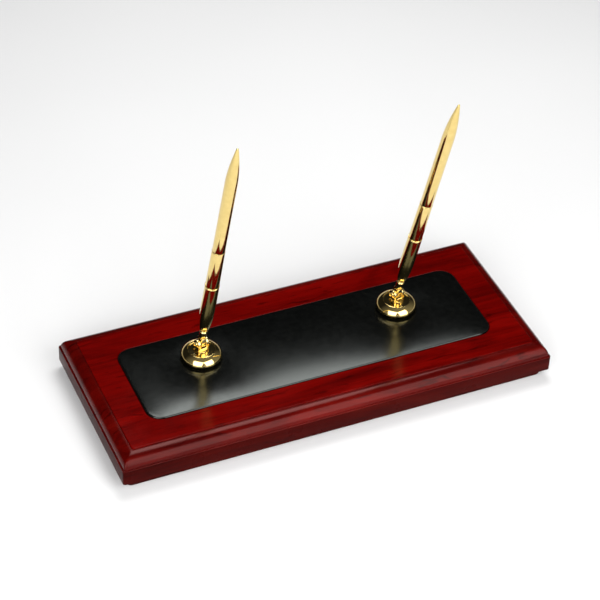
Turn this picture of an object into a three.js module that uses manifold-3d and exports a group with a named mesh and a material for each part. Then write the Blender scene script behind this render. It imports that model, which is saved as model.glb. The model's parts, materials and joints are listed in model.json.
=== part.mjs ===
// Double desk-pen stand: a moulded wooden base with an inset leather panel, and two
// swivelling pen holders, each with its pen. Millimetres, +Z up, +X along the base.
// The origin is the centre of the felt underside, which rests on the desk.
import * as THREE from 'three';
import { mergeVertices } from 'three/addons/utils/BufferGeometryUtils.js';
import Module from 'manifold-3d';

const wasm = await Module();
wasm.setup();

// ---- Driving dimensions of the base ----
const BASE_LENGTH = 305;
const BASE_WIDTH = 128.5;
const BASE_HEIGHT = 26.9;
const BASE_CORNER = 1.5; // plan radius of the board's outer corners
const FELT_THICKNESS = 1;
const FELT_INSET = 6; // felt edge to board edge
const PLINTH_INSET = 3.8;
const PLINTH_CORNER = 4;
const PLINTH_TOP = 6.8;
const LEDGE_HEIGHT = 18.3;
const LEDGE_WIDTH = 1;
const MOULDING_WIDTH = 9.7; // board edge to the top's edge
const FILLET_STEP = 0.9; // small upright step between the moulding and the flat top
const FILLET_QUIRK = 0.5; // flat between that step and the convex curve
const EASED_EDGE = 0.4;
const OVOLO_STEPS = 7;

// ---- Leather panel and its recess ----
const PANEL_LENGTH = 246.4;
const PANEL_WIDTH = 71;
const PANEL_CORNER = 10;
const PANEL_GAP = 0.3; // round the panel, inside its recess
const RECESS_DEPTH = 4;
const BOARD_THICKNESS = 2.4; // stiff board under the leather pad
const PAD_RISE = 0.6; // pad's flat top above the wood
const PAD_EDGE_DROP = 1.4; // rolled edge of the pad

// ---- Pen holders ----
const STAND_X = 71; // from the centre line to each holder
const STAND_Y = 10; // behind the centre line
const DOME_RADIUS = 13.8; // at its widest
const DOME_HALF_HEIGHT = 6.9; // of the full ellipse that gives the dome's outline
const DOME_WIDEST = 2.7; // height of the widest circle above the leather
const DOME_FOOT_RADIUS = 11.2;
const DOME_RIM_RADIUS = 9.7;
const DOME_WALL = 1;
const DOME_BEAD = 0.6; // width of the small bead round the rim
const DISH_EDGE = 6.7; // height of the dish just inside the rim
const DISH_CROWN = 7.4; // height of the dish's shallow cone round the boss
const DISH_FLOOR = 7.2; // height of the boss in the dish
const BOSS_RADIUS = 4.6;
const SHANK_RADIUS = 4;
const SHANK_BOTTOM = 6.9; // height above the desk of the hollow threaded shank's end
const STEM_RADIUS = 2;
const STEM_BORE = 2.25;
const STEM_BOTTOM = 3.6;
const COUNTERBORE_RADIUS = 9;
const COUNTERBORE_TOP = 11;
const STAND_BORE = 4.4;

// ---- Swivel fork, hinge pin and tongue ----
const PIVOT_HEIGHT = 13.2; // hinge axis above the leather
const FORK_WIDTH = 8.2; // over both cheeks, along the hinge axis
const FORK_SLOT = 4;
const CHEEK_RADIUS = 3.1;
const SLOT_FLOOR = 3.4; // below the hinge axis
const FLANGE_RADIUS = 4.5; // of the fork's foot, on the boss
const PIN_RADIUS = 0.7;
const PIN_HEAD_RADIUS = 1.5;
const PIN_HOLE = 0.9;
const TONGUE_THICKNESS = 3.4;
const TONGUE_FOOT = 1.5; // square foot below the hinge axis
const COLLAR_RADIUS = 2.45;
const COLLAR_START = 5; // along the pen's axis, from the hinge axis
const STUD_RADIUS = 1.6; // of the tongue's end, screwed into the funnel
const FUNNEL_START = 14;

// ---- Funnel and pen: stations are distances along the pen's axis from the hinge axis ----
const FUNNEL_WIDEST = 34.5;
const FUNNEL_LIP = 59.2;
const NOSE_REACH = 24; // from the widest station to where the bullet nose would close
const BULLET_POWER = 2.2; // 2 would make the nose an ellipse
const FUNNEL_RADIUS = 4.85;
const LIP_RADIUS = 4.75;
const CUP_RADIUS = 4.1; // inside the funnel's wall
const LINER_RADIUS = 3.75; // inside the liner
const CUP_FLOOR = 18;
const PEN_POINT = 21;
const NOSE_START = 22.8;
const NOSE_END = 42;
const NOSE_RADIUS = 3.5;
const PEN_SHOULDER = 59.5;
const SHOULDER_RADIUS = 4.6;
const JOINT_RING = 92;
const RING_LENGTH = 0.9;
const RING_RADIUS = 4.4;
const BARREL_RADIUS = 4.1;
const TAIL_START = 154;
const TAIL_END = 185;
const TAPER_DEPTH = 0.85; // share of the barrel's radius that the tapered end loses
const TAPER_POWER = 1.8;
const REFILL_END = 148;
const REFILL_RADIUS = 1.15;
const THREAD_RADIUS = 3.2; // of the front's spigot, screwed into the tail
const FRONT_BORE = 2.4;
const TAIL_BORE = 3;

// ---- How each holder is set ----
const STANDS = [
  { side: 'left', x: -STAND_X, pan: -79, tilt: 11.7 },
  { side: 'right', x: STAND_X, pan: -77, tilt: 13.2 },
];

const radians = THREE.MathUtils.degToRad;
const PAD_TOP = BASE_HEIGHT + PAD_RISE;

const materials = {
  lacquered_wood: { color: 0x6e0c08, roughness: 0.25, metalness: 0 },
  plinth_wood: { color: 0x3c0a06, roughness: 0.3, metalness: 0 },
  felt: { color: 0x15301f, roughness: 0.95, metalness: 0 },
  leather: { color: 0x0b0c0b, roughness: 0.45, metalness: 0 },
  backing_board: { color: 0x6b5236, roughness: 0.9, metalness: 0 },
  gold_plate: { color: 0xd0a744, roughness: 0.15, metalness: 1 },
  steel: { color: 0xa9abad, roughness: 0.35, metalness: 1 },
  liner_plastic: { color: 0x1b1b1b, roughness: 0.6, metalness: 0 },
  refill_metal: { color: 0xb9a77a, roughness: 0.3, metalness: 1 },
};

// ---- Geometry helpers ----

// Solid of revolution about +Z from [radius, height] pairs.
function revolve(profile, sides) {
  const points = profile.map(([radius, height]) => new THREE.Vector2(radius, height));
  return new THREE.LatheGeometry(points, sides).rotateX(Math.PI / 2);
}

// The same for a ring, whose profile closes on itself.
function revolveRing(profile, sides) {
  return revolve([...profile, profile[0]], sides);
}

function tube(outer, inner, bottom, top, sides) {
  return revolveRing([[inner, bottom], [outer, bottom], [outer, top], [inner, top]], sides);
}

function cylinder(radius, bottom, top, sides) {
  return revolve([[0, bottom], [radius, bottom], [radius, top], [0, top]], sides);
}

function roundedRectangle(length, width, corner, cornerSteps = 3) {
  const x = length / 2 - corner;
  const y = width / 2 - corner;
  const centres = [[x, y], [-x, y], [-x, -y], [x, -y]];
  const points = [];
  centres.forEach(([cx, cy], quarter) => {
    for (let step = 0; step <= cornerSteps; step += 1) {
      const angle = (quarter + step / cornerSteps) * Math.PI / 2;
      points.push(new THREE.Vector2(cx + corner * Math.cos(angle), cy + corner * Math.sin(angle)));
    }
  });
  return points;
}

// Closed solid through outlines of equal point count, listed from the lowest up.
function loft(layers) {
  const count = layers[0].points.length;
  const positions = layers.flatMap(({ z, points }) => points.flatMap((p) => [p.x, p.y, z]));
  const index = [];
  for (let layer = 0; layer + 1 < layers.length; layer += 1) {
    for (let i = 0; i < count; i += 1) {
      const a = layer * count + i;
      const b = layer * count + (i + 1) % count;
      index.push(a, b, b + count, a, b + count, a + count);
    }
  }
  const top = (layers.length - 1) * count;
  for (const [a, b, c] of THREE.ShapeUtils.triangulateShape(layers[0].points, [])) {
    index.push(c, b, a, top + a, top + b, top + c);
  }
  const geometry = new THREE.BufferGeometry();
  geometry.setAttribute('position', new THREE.Float32BufferAttribute(positions, 3));
  geometry.setIndex(index);
  return geometry;
}

function slab(points, bottom, top) {
  return loft([{ z: bottom, points }, { z: top, points }]);
}

function toManifold(geometry) {
  const bare = geometry.clone();
  bare.deleteAttribute('normal');
  bare.deleteAttribute('uv');
  const merged = mergeVertices(bare, 1e-4);
  const kept = [];
  for (let i = 0; i < merged.index.count; i += 3) {
    const [a, b, c] = [0, 1, 2].map((corner) => merged.index.getX(i + corner));
    if (a !== b && b !== c && c !== a) kept.push(a, b, c);
  }
  return new wasm.Manifold(new wasm.Mesh({
    numProp: 3,
    vertProperties: merged.attributes.position.array,
    triVerts: new Uint32Array(kept),
  }));
}

function fromManifold(solid) {
  const mesh = solid.getMesh();
  const geometry = new THREE.BufferGeometry();
  geometry.setAttribute('position', new THREE.BufferAttribute(mesh.vertProperties, 3));
  geometry.setIndex(new THREE.BufferAttribute(mesh.triVerts, 1));
  return geometry;
}

function cut(geometry, tools) {
  return fromManifold(tools.reduce((solid, tool) => solid.subtract(toManifold(tool)), toManifold(geometry)));
}

function join(pieces) {
  return fromManifold(pieces.map(toManifold).reduce((whole, piece) => whole.add(piece)));
}

function makeMesh(name, geometry, finish) {
  const mesh = new THREE.Mesh(geometry, new THREE.MeshStandardMaterial(materials[finish]));
  mesh.name = name;
  return mesh;
}

// ---- Base ----

function standCylinders(radius, bottom, top, sides) {
  return STANDS.map(({ x }) => cylinder(radius, bottom, top, sides).translate(x, STAND_Y, 0));
}

function mouldedBoardLayers() {
  const layer = (inset, z) => ({
    z,
    points: roundedRectangle(BASE_LENGTH - 2 * inset, BASE_WIDTH - 2 * inset, BASE_CORNER),
  });
  const ovoloRun = MOULDING_WIDTH - LEDGE_WIDTH - FILLET_QUIRK;
  const ovoloRise = BASE_HEIGHT - FILLET_STEP - LEDGE_HEIGHT;
  const layers = [
    layer(EASED_EDGE, PLINTH_TOP),
    layer(0, PLINTH_TOP + EASED_EDGE),
    layer(0, LEDGE_HEIGHT - EASED_EDGE),
    layer(EASED_EDGE, LEDGE_HEIGHT),
  ];
  for (let step = 0; step <= OVOLO_STEPS; step += 1) {
    const angle = (step / OVOLO_STEPS) * Math.PI / 2;
    const inset = LEDGE_WIDTH + ovoloRun * (1 - Math.cos(angle));
    layers.push(layer(inset, LEDGE_HEIGHT + ovoloRise * Math.sin(angle)));
  }
  layers.push(layer(MOULDING_WIDTH, BASE_HEIGHT - FILLET_STEP));
  layers.push(layer(MOULDING_WIDTH, BASE_HEIGHT - EASED_EDGE));
  layers.push(layer(MOULDING_WIDTH + EASED_EDGE, BASE_HEIGHT));
  return layers;
}

function panelOutline(growth, corner = PANEL_CORNER + growth) {
  return roundedRectangle(PANEL_LENGTH + 2 * growth, PANEL_WIDTH + 2 * growth, corner, 7);
}

function woodBoard() {
  const recess = slab(panelOutline(PANEL_GAP), BASE_HEIGHT - RECESS_DEPTH, BASE_HEIGHT + 1);
  return cut(loft(mouldedBoardLayers()), [
    recess,
    ...standCylinders(STAND_BORE, PLINTH_TOP - 1, BASE_HEIGHT, 24),
    ...standCylinders(COUNTERBORE_RADIUS, PLINTH_TOP - 1, COUNTERBORE_TOP, 32),
  ]);
}

function plinthBoard() {
  const length = BASE_LENGTH - 2 * PLINTH_INSET;
  const width = BASE_WIDTH - 2 * PLINTH_INSET;
  const outline = (inset) => roundedRectangle(length - 2 * inset, width - 2 * inset, PLINTH_CORNER - inset);
  const board = loft([
    { z: FELT_THICKNESS, points: outline(EASED_EDGE) },
    { z: FELT_THICKNESS + EASED_EDGE, points: outline(0) },
    { z: PLINTH_TOP, points: outline(0) },
  ]);
  return cut(board, standCylinders(COUNTERBORE_RADIUS, 0, PLINTH_TOP + 1, 32));
}

function feltPad() {
  const length = BASE_LENGTH - 2 * FELT_INSET;
  return slab(roundedRectangle(length, BASE_WIDTH - 2 * FELT_INSET, PLINTH_CORNER), 0, FELT_THICKNESS);
}

function panelBoard() {
  const floor = BASE_HEIGHT - RECESS_DEPTH;
  const board = slab(panelOutline(-PANEL_GAP), floor, floor + BOARD_THICKNESS);
  return cut(board, standCylinders(STAND_BORE, 0, PAD_TOP, 24));
}

function leatherPad() {
  const bottom = BASE_HEIGHT - RECESS_DEPTH + BOARD_THICKNESS;
  const pad = loft([
    { z: bottom, points: panelOutline(0) },
    { z: PAD_TOP - PAD_EDGE_DROP, points: panelOutline(0) },
    { z: PAD_TOP - PAD_EDGE_DROP / 3, points: panelOutline(-PAD_EDGE_DROP / 2) },
    { z: PAD_TOP, points: panelOutline(-3 * PAD_EDGE_DROP) },
  ]);
  return cut(pad, standCylinders(STAND_BORE, 0, PAD_TOP + 1, 24));
}

// ---- Holder parts fixed to the base: heights above the desk, less the group's height ----

function domeOutline(inset, from, to, steps) {
  const points = [];
  for (let step = 0; step <= steps; step += 1) {
    const height = from + (to - from) * step / steps;
    const lift = (height - DOME_WIDEST) / (DOME_HALF_HEIGHT - inset);
    points.push([(DOME_RADIUS - inset) * Math.sqrt(1 - lift * lift), height]);
  }
  return points;
}

function dome() {
  const shankBottom = SHANK_BOTTOM - PAD_TOP;
  const lift = Math.sqrt(1 - (DOME_RIM_RADIUS / DOME_RADIUS) ** 2);
  const rim = DOME_WIDEST + DOME_HALF_HEIGHT * lift;
  const innerTop = DISH_EDGE - 1.5 * DOME_WALL;
  return revolveRing([
    [SHANK_RADIUS, shankBottom],
    [SHANK_RADIUS, 0.2],
    [BOSS_RADIUS, 0.2],
    [BOSS_RADIUS, DISH_FLOOR - DOME_WALL],
    ...domeOutline(DOME_WALL, DOME_WIDEST, innerTop, 2).reverse(),
    [DOME_FOOT_RADIUS - DOME_WALL, 0.1],
    [DOME_FOOT_RADIUS, 0.1],
    [DOME_RADIUS - 0.9, DOME_WIDEST - 0.9],
    [DOME_RADIUS - 0.25, DOME_WIDEST - 0.6],
    ...domeOutline(0, DOME_WIDEST, rim, 6),
    [DOME_RIM_RADIUS - DOME_BEAD / 2, rim + DOME_BEAD / 4],
    [DOME_RIM_RADIUS - DOME_BEAD, rim],
    [DOME_RIM_RADIUS - 1.5 * DOME_BEAD, DISH_EDGE],
    [BOSS_RADIUS + 0.4, DISH_CROWN],
    [BOSS_RADIUS + 0.3, DISH_FLOOR],
    [STEM_BORE, DISH_FLOOR],
    [STEM_BORE, shankBottom],
  ], 24);
}

function fixingWasher() {
  return tube(7.5, SHANK_RADIUS + 0.2, COUNTERBORE_TOP - 0.9, COUNTERBORE_TOP - 0.1, 20).translate(0, 0, -PAD_TOP);
}

function fixingNut() {
  const bottom = SHANK_BOTTOM + 0.6;
  const nut = cylinder(6.2, bottom, COUNTERBORE_TOP - 1, 6);
  const bore = cylinder(SHANK_RADIUS + 0.2, bottom - 1, COUNTERBORE_TOP, 18);
  return cut(nut, [bore]).translate(0, 0, -PAD_TOP);
}

// ---- Swivel: turns about the dome's axis ----

function forkBlock() {
  const outline = new THREE.Shape();
  const foot = DISH_FLOOR + 0.5 - PIVOT_HEIGHT;
  outline.moveTo(-CHEEK_RADIUS, foot);
  outline.lineTo(CHEEK_RADIUS, foot);
  outline.lineTo(CHEEK_RADIUS, 0);
  outline.absarc(0, 0, CHEEK_RADIUS, 0, Math.PI, false);
  const bevel = 0.5;
  const block = new THREE.ExtrudeGeometry(outline, {
    depth: FORK_WIDTH - 2 * bevel,
    curveSegments: 10,
    bevelSize: bevel,
    bevelThickness: bevel,
    bevelOffset: -bevel,
    bevelSegments: 1,
  });
  return block.translate(0, 0, bevel - FORK_WIDTH / 2).rotateX(Math.PI / 2);
}

function alongHinge(geometry) {
  return geometry.rotateX(-Math.PI / 2);
}

function yoke() {
  const clipGroove = STEM_BOTTOM + 1 - PAD_TOP;
  const stem = revolve([
    [0, STEM_BOTTOM - PAD_TOP],
    [STEM_RADIUS, STEM_BOTTOM - PAD_TOP],
    [STEM_RADIUS, clipGroove],
    [STEM_RADIUS - 0.5, clipGroove],
    [STEM_RADIUS - 0.5, clipGroove + 0.8],
    [STEM_RADIUS, clipGroove + 0.8],
    [STEM_RADIUS, DISH_FLOOR + 0.2],
    [FLANGE_RADIUS - 0.1, DISH_FLOOR + 0.2],
    [FLANGE_RADIUS, DISH_FLOOR + 0.35],
    [FLANGE_RADIUS - 0.1, DISH_FLOOR + 0.5],
    [FLANGE_RADIUS - 1.1, DISH_FLOOR + 0.7],
    [0, DISH_FLOOR + 0.7],
  ], 20);
  const slot = new THREE.BoxGeometry(4 * CHEEK_RADIUS, FORK_SLOT, 20);
  slot.translate(0, 0, PIVOT_HEIGHT - SLOT_FLOOR + 10);
  const hole = alongHinge(cylinder(PIN_HOLE, -FORK_WIDTH, FORK_WIDTH, 12)).translate(0, 0, PIVOT_HEIGHT);
  return cut(join([stem, forkBlock().translate(0, 0, PIVOT_HEIGHT)]), [slot, hole]);
}

function hingePin() {
  const half = FORK_WIDTH / 2 + 0.1;
  return alongHinge(revolve([
    [0, -half - 0.9],
    [0.9, -half - 0.75],
    [PIN_HEAD_RADIUS, -half - 0.3],
    [PIN_HEAD_RADIUS, -half],
    [PIN_RADIUS, -half],
    [PIN_RADIUS, half],
    [PIN_HEAD_RADIUS, half],
    [PIN_HEAD_RADIUS, half + 0.3],
    [0.9, half + 0.75],
    [0, half + 0.9],
  ], 12)).translate(0, 0, PIVOT_HEIGHT);
}

function springWasher() {
  const bottom = STEM_BOTTOM + 2 - PAD_TOP;
  return revolveRing([
    [2.15, bottom],
    [4.6, bottom + 0.5],
    [4.6, bottom + 0.9],
    [2.15, bottom + 0.4],
  ], 18);
}

// Open retaining ring that sits in the stem's groove.
function retainingRing() {
  const outline = new THREE.Shape();
  const opening = radians(35);
  outline.absarc(0, 0, 3.4, opening, 2 * Math.PI - opening, false);
  outline.absarc(0, 0, STEM_RADIUS - 0.4, 2 * Math.PI - opening, opening, true);
  const ring = new THREE.ExtrudeGeometry(outline, { depth: 0.6, curveSegments: 9, bevelEnabled: false });
  return ring.translate(0, 0, STEM_BOTTOM + 1.1 - PAD_TOP);
}

// ---- Holder: tilts about the hinge pin. Heights are stations along the pen's axis ----

function tongue() {
  const outline = new THREE.Shape();
  outline.moveTo(-CHEEK_RADIUS, -TONGUE_FOOT);
  outline.lineTo(CHEEK_RADIUS, -TONGUE_FOOT);
  outline.lineTo(CHEEK_RADIUS, 1);
  outline.quadraticCurveTo(CHEEK_RADIUS, 3, COLLAR_RADIUS - 0.3, COLLAR_START + 0.4);
  outline.lineTo(0.3 - COLLAR_RADIUS, COLLAR_START + 0.4);
  outline.quadraticCurveTo(-CHEEK_RADIUS, 3, -CHEEK_RADIUS, 1);
  const blade = new THREE.ExtrudeGeometry(outline, {
    depth: TONGUE_THICKNESS,
    curveSegments: 5,
    bevelEnabled: false,
  });
  blade.translate(0, 0, -TONGUE_THICKNESS / 2).rotateX(Math.PI / 2);
  const collar = revolve([
    [0, COLLAR_START],
    [COLLAR_RADIUS - 0.5, COLLAR_START],
    [COLLAR_RADIUS, COLLAR_START + 0.6],
    [COLLAR_RADIUS, FUNNEL_START - 2.4],
    [COLLAR_RADIUS - 0.6, FUNNEL_START - 1.8],
    [COLLAR_RADIUS - 0.6, FUNNEL_START - 1.4],
    [COLLAR_RADIUS + 0.2, FUNNEL_START - 0.8],
    [COLLAR_RADIUS + 0.2, FUNNEL_START - 0.1],
    [STUD_RADIUS, FUNNEL_START - 0.1],
    [STUD_RADIUS, CUP_FLOOR - 0.4],
    [0, CUP_FLOOR - 0.4],
  ], 18);
  const hole = alongHinge(cylinder(PIN_HOLE, -TONGUE_THICKNESS, TONGUE_THICKNESS, 12));
  return cut(join([blade, collar]), [hole]);
}

function funnelRadius(station) {
  if (station >= FUNNEL_WIDEST) {
    const run = (station - FUNNEL_WIDEST) / (FUNNEL_LIP - FUNNEL_WIDEST);
    return FUNNEL_RADIUS + (LIP_RADIUS - FUNNEL_RADIUS) * run * run;
  }
  const bullet = (FUNNEL_WIDEST - station) / NOSE_REACH;
  return FUNNEL_RADIUS * (1 - bullet ** BULLET_POWER) ** (1 / BULLET_POWER);
}

function funnel() {
  const outside = [];
  for (let station = FUNNEL_START + 0.5; station < FUNNEL_WIDEST; station += 3.2) {
    outside.push([funnelRadius(station), station]);
  }
  for (const station of [FUNNEL_WIDEST, (FUNNEL_WIDEST + FUNNEL_LIP) / 2, FUNNEL_LIP - 0.9]) {
    outside.push([funnelRadius(station), station]);
  }
  return revolveRing([
    [STUD_RADIUS + 0.15, FUNNEL_START],
    [funnelRadius(FUNNEL_START) - 0.4, FUNNEL_START],
    ...outside,
    [CUP_RADIUS, FUNNEL_LIP - 0.9],
    [CUP_RADIUS, FUNNEL_WIDEST],
    [3.4, CUP_FLOOR + 3],
    [2.4, CUP_FLOOR],
    [STUD_RADIUS + 0.15, CUP_FLOOR],
  ], 22);
}

function lipRing() {
  const top = FUNNEL_LIP;
  return revolveRing([
    [CUP_RADIUS, top - 0.8],
    [LIP_RADIUS, top - 0.8],
    [LIP_RADIUS + 0.12, top - 0.5],
    [LIP_RADIUS + 0.12, top - 0.25],
    [LIP_RADIUS - 0.05, top],
    [CUP_RADIUS, top],
  ], 22);
}

function funnelLiner() {
  return revolveRing([
    [CUP_RADIUS - 0.1, FUNNEL_WIDEST + 1],
    [CUP_RADIUS - 0.1, FUNNEL_LIP - 1],
    [LINER_RADIUS, FUNNEL_LIP - 1],
    [LINER_RADIUS, FUNNEL_WIDEST + 1],
  ], 22);
}

// ---- Pen ----

function penFront() {
  return revolveRing([
    [0.95, NOSE_START],
    [1.3, NOSE_START],
    [1.9, NOSE_START + 4],
    [2.9, NOSE_START + 10],
    [NOSE_RADIUS, NOSE_END],
    [NOSE_RADIUS, PEN_SHOULDER],
    [SHOULDER_RADIUS - 0.2, PEN_SHOULDER],
    [SHOULDER_RADIUS, PEN_SHOULDER + 0.3],
    [(SHOULDER_RADIUS + RING_RADIUS) / 2 - 0.05, (PEN_SHOULDER + JOINT_RING) / 2],
    [RING_RADIUS - 0.12, JOINT_RING - 0.1],
    [THREAD_RADIUS, JOINT_RING - 0.1],
    [THREAD_RADIUS, JOINT_RING + 8],
    [FRONT_BORE, JOINT_RING + 8],
    [FRONT_BORE, NOSE_END + 2],
    [1.5, NOSE_END - 4],
    [1.5, NOSE_START + 3],
    [0.95, NOSE_START + 2.4],
  ], 20);
}

function penRefill() {
  return revolve([
    [0, PEN_POINT],
    [0.35, PEN_POINT + 0.3],
    [0.75, PEN_POINT + 2.2],
    [0.75, NOSE_START + 2.6],
    [REFILL_RADIUS, NOSE_START + 3.6],
    [REFILL_RADIUS, REFILL_END],
    [0, REFILL_END],
  ], 10);
}

function penRing() {
  const middle = JOINT_RING + RING_LENGTH / 2;
  return revolveRing([
    [THREAD_RADIUS + 0.15, JOINT_RING],
    [RING_RADIUS - 0.15, JOINT_RING],
    [RING_RADIUS, middle],
    [RING_RADIUS - 0.15, JOINT_RING + RING_LENGTH],
    [THREAD_RADIUS + 0.15, JOINT_RING + RING_LENGTH],
  ], 20);
}

function tailRadius(station) {
  const run = (station - TAIL_START) / (TAIL_END - TAIL_START);
  return BARREL_RADIUS * (1 - TAPER_DEPTH * run ** TAPER_POWER);
}

function penTail() {
  const start = JOINT_RING + RING_LENGTH + 0.1;
  const tail = [];
  const tailSteps = 7;
  for (let step = 0; step <= tailSteps; step += 1) {
    const station = TAIL_START + (TAIL_END - 0.6 - TAIL_START) * step / tailSteps;
    tail.push([tailRadius(station), station]);
  }
  return revolve([
    [0, TAIL_START + 16],
    [1.4, TAIL_START + 15],
    [TAIL_BORE, TAIL_START],
    [TAIL_BORE, start + 9],
    [THREAD_RADIUS + 0.2, start + 8.5],
    [THREAD_RADIUS + 0.2, start],
    [RING_RADIUS - 0.15, start],
    [BARREL_RADIUS + 0.05, start + 14],
    ...tail,
    [0.3, TAIL_END - 0.1],
    [0, TAIL_END],
  ], 20);
}

// ---- Assembly ----

function penGroup(side) {
  const pen = new THREE.Group();
  pen.add(makeMesh(`${side}_pen_front`, penFront(), 'gold_plate'));
  pen.add(makeMesh(`${side}_pen_refill`, penRefill(), 'refill_metal'));
  pen.add(makeMesh(`${side}_pen_ring`, penRing(), 'gold_plate'));
  pen.add(makeMesh(`${side}_pen_tail`, penTail(), 'gold_plate'));
  return pen;
}

function holderGroup(side, tilt) {
  const holder = new THREE.Group();
  holder.position.z = PIVOT_HEIGHT;
  holder.rotation.y = radians(tilt);
  holder.add(makeMesh(`${side}_tongue`, tongue(), 'gold_plate'));
  holder.add(makeMesh(`${side}_funnel`, funnel(), 'gold_plate'));
  holder.add(makeMesh(`${side}_lip_ring`, lipRing(), 'gold_plate'));
  holder.add(makeMesh(`${side}_liner`, funnelLiner(), 'liner_plastic'));
  holder.add(penGroup(side));
  return holder;
}

function swivelGroup(side, pan, tilt) {
  const swivel = new THREE.Group();
  swivel.rotation.z = radians(pan);
  swivel.add(makeMesh(`${side}_yoke`, yoke(), 'gold_plate'));
  swivel.add(makeMesh(`${side}_hinge_pin`, hingePin(), 'gold_plate'));
  swivel.add(makeMesh(`${side}_spring_washer`, springWasher(), 'steel'));
  swivel.add(makeMesh(`${side}_retaining_ring`, retainingRing(), 'steel'));
  swivel.add(holderGroup(side, tilt));
  return swivel;
}

function standGroup({ side, x, pan, tilt }) {
  const stand = new THREE.Group();
  stand.position.set(x, STAND_Y, PAD_TOP);
  stand.add(makeMesh(`${side}_dome`, dome(), 'gold_plate'));
  stand.add(makeMesh(`${side}_fixing_washer`, fixingWasher(), 'steel'));
  stand.add(makeMesh(`${side}_fixing_nut`, fixingNut(), 'steel'));
  stand.add(swivelGroup(side, pan, tilt));
  return stand;
}

const penStand = new THREE.Group();
penStand.add(makeMesh('wood_board', woodBoard(), 'lacquered_wood'));
penStand.add(makeMesh('plinth', plinthBoard(), 'plinth_wood'));
penStand.add(makeMesh('felt_pad', feltPad(), 'felt'));
penStand.add(makeMesh('panel_board', panelBoard(), 'backing_board'));
penStand.add(makeMesh('leather_pad', leatherPad(), 'leather'));
STANDS.forEach((stand) => penStand.add(standGroup(stand)));

export default penStand;
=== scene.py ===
import json
import math

import bpy
from mathutils import Matrix, Vector


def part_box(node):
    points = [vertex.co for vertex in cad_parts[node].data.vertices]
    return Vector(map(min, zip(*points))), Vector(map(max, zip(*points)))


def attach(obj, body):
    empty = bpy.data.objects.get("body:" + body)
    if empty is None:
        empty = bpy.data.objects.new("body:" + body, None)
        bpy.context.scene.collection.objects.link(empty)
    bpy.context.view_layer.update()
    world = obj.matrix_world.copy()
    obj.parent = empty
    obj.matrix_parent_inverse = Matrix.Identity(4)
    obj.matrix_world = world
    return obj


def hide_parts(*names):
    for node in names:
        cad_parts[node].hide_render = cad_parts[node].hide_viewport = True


# Double desk-pen stand. Sizes are in millimetres and are turned into metres as each mesh is made.
MM = 0.001

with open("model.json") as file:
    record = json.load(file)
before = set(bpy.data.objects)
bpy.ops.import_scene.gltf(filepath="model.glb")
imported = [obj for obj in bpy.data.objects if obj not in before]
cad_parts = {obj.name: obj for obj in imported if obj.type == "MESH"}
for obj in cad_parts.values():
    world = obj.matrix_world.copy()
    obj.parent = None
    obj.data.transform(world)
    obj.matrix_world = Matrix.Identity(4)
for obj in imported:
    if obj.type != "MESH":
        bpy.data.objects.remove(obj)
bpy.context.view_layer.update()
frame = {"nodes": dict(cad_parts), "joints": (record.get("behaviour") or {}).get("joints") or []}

# ---- Base ----
FELT_THICKNESS = 1.0
PLINTH_INSET = 3.8
PLINTH_CORNER = 4.0
BASE_CORNER = 1.5
LEDGE_HEIGHT = 18.3
LEDGE_WIDTH = 1.0
MOULDING_WIDTH = 9.7
FILLET_STEP = 0.9
FILLET_QUIRK = 0.5
OVOLO_STEPS = 24
EASED_EDGE = 0.4
RECESS_DEPTH = 4.0
RECESS_ARRIS = 0.3
PANEL_GAP = 0.3
PANEL_CORNER = 10.0
STAND_BORE = 4.4
COUNTERBORE_RADIUS = 9.0
COUNTERBORE_TOP = 11.0

# ---- Leather pad ----
PAD_ROLL = 1.1  # radius of the rolled edge
PAD_CROWN = 2.2  # how far the padding lifts the leather above its edges
PAD_ROWS = 36
PAD_COLUMNS = 110
ROLL_STEPS = 6
CLOTH_FRAMES = 60
CLOTH_PRESSURE = 4
CLOTH_STIFFNESS = 5
CLOTH_DAMPING = 20
DOME_FOOT = 11.2  # radius inside which the dome holds the leather down

# ---- Holder fittings, heights above the leather ----
DOME_RADIUS = 13.8
DOME_HALF_HEIGHT = 6.9
DOME_WIDEST = 2.7
DOME_RIM_RADIUS = 9.7
DOME_WALL = 1.0
DOME_BEAD = 0.6
DISH_EDGE = 6.7
DISH_CROWN = 7.4
DISH_FLOOR = 7.2
BOSS_RADIUS = 4.6
SHANK_RADIUS = 4.0
SHANK_BOTTOM = 6.9  # above the desk
STEM_RADIUS = 2.0
STEM_BORE = 2.25
STEM_BOTTOM = 3.6  # above the desk
FORK_WIDTH = 8.2
FORK_SLOT = 4.0
CHEEK_RADIUS = 3.1
SLOT_FLOOR = 3.4  # below the hinge axis
FLANGE_RADIUS = 4.5
PIN_RADIUS = 0.7
PIN_HEAD_RADIUS = 1.5
PIN_HOLE = 0.9
TONGUE_THICKNESS = 3.4
TONGUE_FOOT = 1.5
COLLAR_RADIUS = 2.45
COLLAR_START = 5.0

# ---- Funnel and pen, distances along the pen's axis from the hinge axis ----
FUNNEL_START = 14.0
FUNNEL_WIDEST = 34.5
NOSE_REACH = 24.0  # from the widest station to where the bullet nose would close
BULLET_POWER = 2.2
FUNNEL_LIP = 59.2
FUNNEL_RADIUS = 4.85
LIP_RADIUS = 4.75
CUP_RADIUS = 4.1
STUD_RADIUS = 1.6
CUP_FLOOR = 18.0
NOSE_START = 22.8
NOSE_END = 42.0
NOSE_RADIUS = 3.5
PEN_SHOULDER = 59.5
SHOULDER_RADIUS = 4.6
JOINT_RING = 92.0
RING_LENGTH = 0.9
RING_RADIUS = 4.4
BARREL_RADIUS = 4.1
TAIL_START = 154.0
TAIL_END = 185.0
TAPER_DEPTH = 0.85  # share of the barrel's radius that the tapered end loses
TAPER_POWER = 1.8
THREAD_RADIUS = 3.2
SPIGOT_LENGTH = 8.0  # of the front's thread, inside the tail
FRONT_BORE = 2.4
REFILL_BORE = 1.5  # in the pen's nose
POINT_HOLE = 0.95
TAIL_BORE = 3.0

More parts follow.
